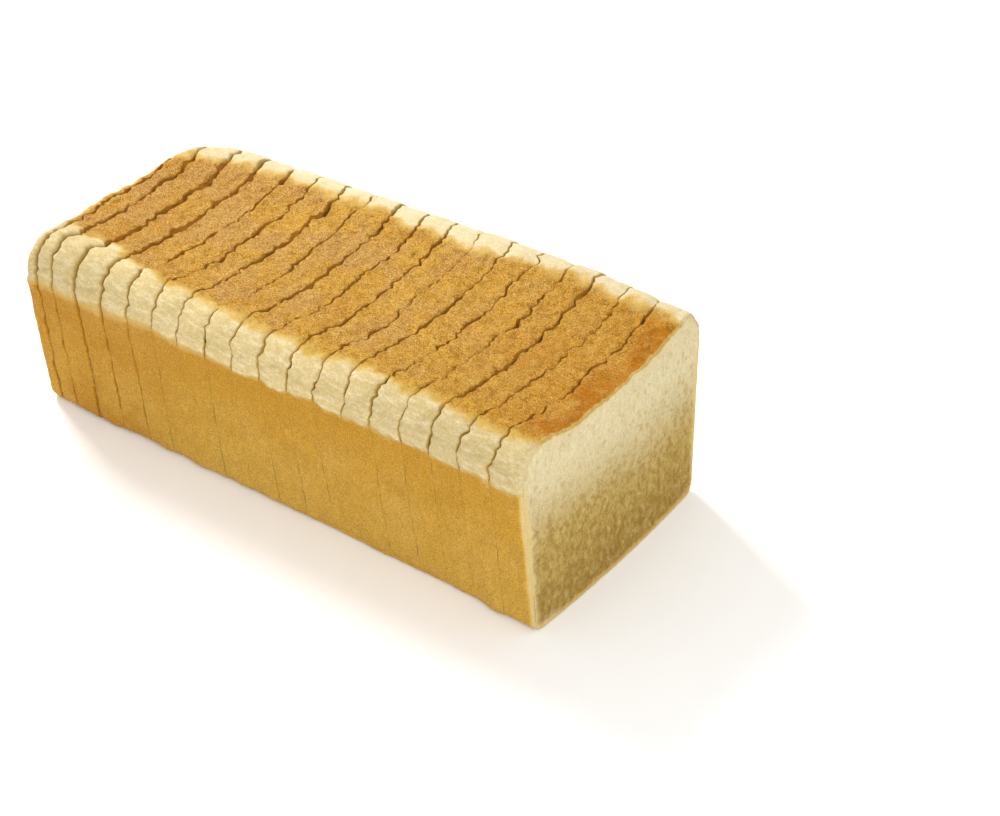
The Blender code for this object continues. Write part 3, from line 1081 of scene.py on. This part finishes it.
def crumb_material(look):
    """Soft crumb: cream above, with pores that carry painted shade and a rim of baked crust and
    painted crack shade.

    Towards the foot it turns darker ochre with dark tufts: mostly painted shadow of the slices left
    out, a little the crumb's own yellower tone. This painted shade keeps a little way in from the
    crust, apart from the front edge.
    """
    r = Recipe(CRUMB_NAME)
    inset = r.mark("inset")
    fine = r.noise(1300.0, 3.0, 0.7)
    webs = r.noise(420.0, 3.0, 0.6, offset=(0.2, 0.6, 0.1))
    clouds = r.noise(40.0, 2.0, 0.5)
    tufts = r.noise(370.0, 4.0, 0.7, stretch=(1.0, 1.0, 0.7), offset=(0.7, 0.1, 0.3))
    height = r.math("ADD", r.up, r.times(r.across, 0.08))
    height = r.math("ADD", height, r.times(r.math("SUBTRACT", clouds, 0.5), 0.02))
    # The painted shadow's strength: it grows as the height falls, and it keeps off the crust's
    # border apart from the front edge
    front = r.span(r.across, -0.05, -0.035)
    inner = r.math("MAXIMUM", r.span(inset, 0.0, 6.0, 0.3, 1.0), front)
    lower = r.times(r.span(height, 0.067, 0.028), inner)
    colour = r.tinted(
        look.crumb_cream,
        (clouds, 0.35, 0.7, 0.6, CLOUD_CREAM),
        (webs, 0.48, 0.3, 0.3, WEB_TAN),
        # painted shadow low on the face, partly the crumb's own yellower tone: darker ochre, dark
        # tufts, browner at the foot
        (height, 0.067, 0.028, r.times(inner, 0.9), PAINTED_SHADE_OCHRE),
        (tufts, 0.52, 0.38, r.times(lower, 0.7), TUFT_DARK),
        (height, 0.032, 0.006, r.times(inner, 0.45), PAINTED_SHADOW_BROWN),
        (tufts, 0.5, 0.66, r.times(lower, 0.45), TUFT_LIGHT),
        # painted shade in the pores, stronger where they are deeper
        (r.mark("pore"), 0.0, 0.8, 0.45, PORE_SHADE_TAN),
    )
    colour = r.scaled(colour, r.span(fine, 0.3, 0.7, 0.9, 1.08))
    edge = r.span(r.up, 0.07, 0.062, 0.35, 0.8)
    colour = r.tinted(colour, (inset, 3.2, 0.0, edge, EDGE_YELLOW))
    # The hidden faces' rim: partly the crust's own brown edge, partly painted shade inside the
    # cracks
    rim = r.mix(r.span(r.up, 0.062, 0.072), SIDE_RIM_AND_SHADE, TOP_RIM_AND_SHADE)
    rim = r.mix(r.span(r.math("ABSOLUTE", r.across), 0.04, 0.047), rim, SHOULDER_RIM_AND_SHADE)
    colour = r.mix(r.mark("rim"), colour, rim)
    normal = r.bump(webs, 0.0006, 0.6, Normal=r.bump(fine, 0.0004, 0.8))
    return r.finish(colour, 0.9, normal)


def floor_material(colour):
    """A matt floor with a barely seen grain."""
    r = Recipe("studio_floor")
    grain = r.noise(30.0, 2.0, 0.5)
    r.feed(r.shader.inputs["Base Color"], r.scaled(colour, r.span(grain, 0.3, 0.7, 0.99, 1.0)))
    r.shader.inputs["Roughness"].default_value = 0.9
    return r.material


def bread_materials(look):
    """The crust and the crumb, made once and shared by all slices."""
    found = [bpy.data.materials.get(name) for name in (CRUST_NAME, CRUMB_NAME)]
    if all(found):
        return found
    return [crust_material(look), crumb_material(look)]


# ---- operators


class BREAD_OT_heel(bpy.types.Operator):
    """Build the crusted heel at the far end of the loaf"""

    bl_idname = "bread.heel"
    bl_label = "Build Heel"

    def execute(self, context):
        """Make the first slice."""
        build_slice(1, context.scene.loaf_look)
        return {"FINISHED"}


class BREAD_OT_inner_slices(bpy.types.Operator):
    """Build the slices between the heel and the cut end"""

    bl_idname = "bread.inner_slices"
    bl_label = "Build Inner Slices"

    def execute(self, context):
        """Make slices 2 to 18."""
        for number in range(2, SLICE_COUNT):
            build_slice(number, context.scene.loaf_look)
        return {"FINISHED"}


class BREAD_OT_cut_end(bpy.types.Operator):
    """Build the slice whose crumb shows at the cut end"""

    bl_idname = "bread.cut_end"
    bl_label = "Build Cut End Slice"

    def execute(self, context):
        """Make the last slice."""
        build_slice(SLICE_COUNT, context.scene.loaf_look)
        return {"FINISHED"}


def aim(light, target):
    """Turn a light so that it points at a place."""
    light.rotation_mode = "QUATERNION"
    direction = Vector(target) - light.location
    light.rotation_quaternion = direction.to_track_quat("-Z", "Y")


def add_softbox(name, location, size, power, tint):
    """Hang a large square light that points at the loaf."""
    data = bpy.data.lights.new(name, "AREA")
    data.shape = "SQUARE"
    data.size = size
    data.energy = power
    data.color = tint
    light = bpy.data.objects.new(name, data)
    light.location = location
    bpy.context.scene.collection.objects.link(light)
    aim(light, LIGHTS_AIM)


def add_floor(look):
    """A flat square grid under the loaf: rows and columns of evenly spaced points."""
    steps = look.floor_steps
    along = np.linspace(-FLOOR_REACH, FLOOR_REACH, steps + 1)
    x, y = np.meshgrid(along, along, indexing="xy")
    points = np.stack([x, y, np.full_like(x, FLOOR_LEVEL)], -1).reshape(-1, 3)
    index = np.arange((steps + 1) ** 2).reshape(steps + 1, steps + 1)
    quads = np.stack([index[:-1, :-1], index[:-1, 1:], index[1:, 1:], index[1:, :-1]], -1)
    counts, slots = np.full(steps * steps, 4), np.zeros(steps * steps)
    material = floor_material(look.floor_colour)
    floor = fill_mesh("studio_floor", points, quads.ravel(), counts, slots, {}, [material])


def add_camera():
    """Stand the camera at its azimuth and elevation with a long lens."""
    data = bpy.data.cameras.new("camera")
    data.lens = CAMERA_LENS
    data.sensor_width = 36.0
    data.clip_start = 0.01
    data.clip_end = 50.0
    camera = bpy.data.objects.new("camera", data)
    bpy.context.scene.collection.objects.link(camera)
    a, e = math.radians(CAMERA_AZIMUTH), math.radians(CAMERA_ELEVATION)
    back = Vector((math.sin(a) * math.cos(e), -math.cos(a) * math.cos(e), math.sin(e)))
    turn = (-back).to_track_quat("-Z", "Y").to_matrix().to_4x4()
    camera.matrix_world = Matrix.Translation(CAMERA_PLACE) @ turn
    bpy.context.scene.camera = camera


class BREAD_OT_stage(bpy.types.Operator):
    """Set up the floor, the soft lights and the camera"""

    bl_idname = "bread.stage"
    bl_label = "Build Stage"

    def execute(self, context):
        """Make the stage."""
        scene = context.scene
        look = scene.stage_look
        scene.view_settings.view_transform = "Standard"
        world = bpy.data.worlds.new("soft_sky")
        world.use_nodes = True
        background = world.node_tree.nodes["Background"]
        background.inputs["Color"].default_value = (1.0, 0.99, 0.97, 1.0)
        background.inputs["Strength"].default_value = look.sky_strength
        scene.world = world
        add_floor(look)
        add_softbox("key_softbox", (-0.85, 0.35, 0.85), 0.4, look.key_power, (1.0, 0.97, 0.93))
        add_softbox("fill_softbox", (0.85, -0.8, 0.75), 0.8, look.fill_power, (1.0, 0.98, 0.95))
        add_camera()
        return {"FINISHED"}


class BREAD_PT_panel(bpy.types.Panel):
    """The loaf's builders in the sidebar"""

    bl_label = "Tin Loaf"
    bl_idname = "BREAD_PT_panel"
    bl_space_type = "VIEW_3D"
    bl_region_type = "UI"
    bl_category = "Tin Loaf"

    def draw(self, context):
        """List the operators and the settings."""
        for operator in OPERATORS:
            self.layout.operator(operator.bl_idname)
        for group in (context.scene.loaf_look, context.scene.stage_look):
            box = self.layout.box()
            for name in group.bl_rna.properties.keys():
                if name not in ("rna_type", "name"):
                    box.prop(group, name)


OPERATORS = (BREAD_OT_heel, BREAD_OT_inner_slices, BREAD_OT_cut_end, BREAD_OT_stage)
CLASSES = (LoafLook, StageLook) + OPERATORS + (BREAD_PT_panel,)


def register():
    """Register the classes and hang their settings on the scene."""
    for entry in CLASSES:
        bpy.utils.register_class(entry)
    bpy.types.Scene.loaf_look = PointerProperty(type=LoafLook)
    bpy.types.Scene.stage_look = PointerProperty(type=StageLook)


def unregister():
    """Undo what register did."""
    del bpy.types.Scene.stage_look
    del bpy.types.Scene.loaf_look
    for entry in reversed(CLASSES):
        bpy.utils.unregister_class(entry)


def main():
    """Build the loaf and its stage."""
    register()
    bpy.ops.bread.heel()
    bpy.ops.bread.inner_slices()
    bpy.ops.bread.cut_end()
    bpy.ops.bread.stage()


if __name__ == "__main__":
    main()
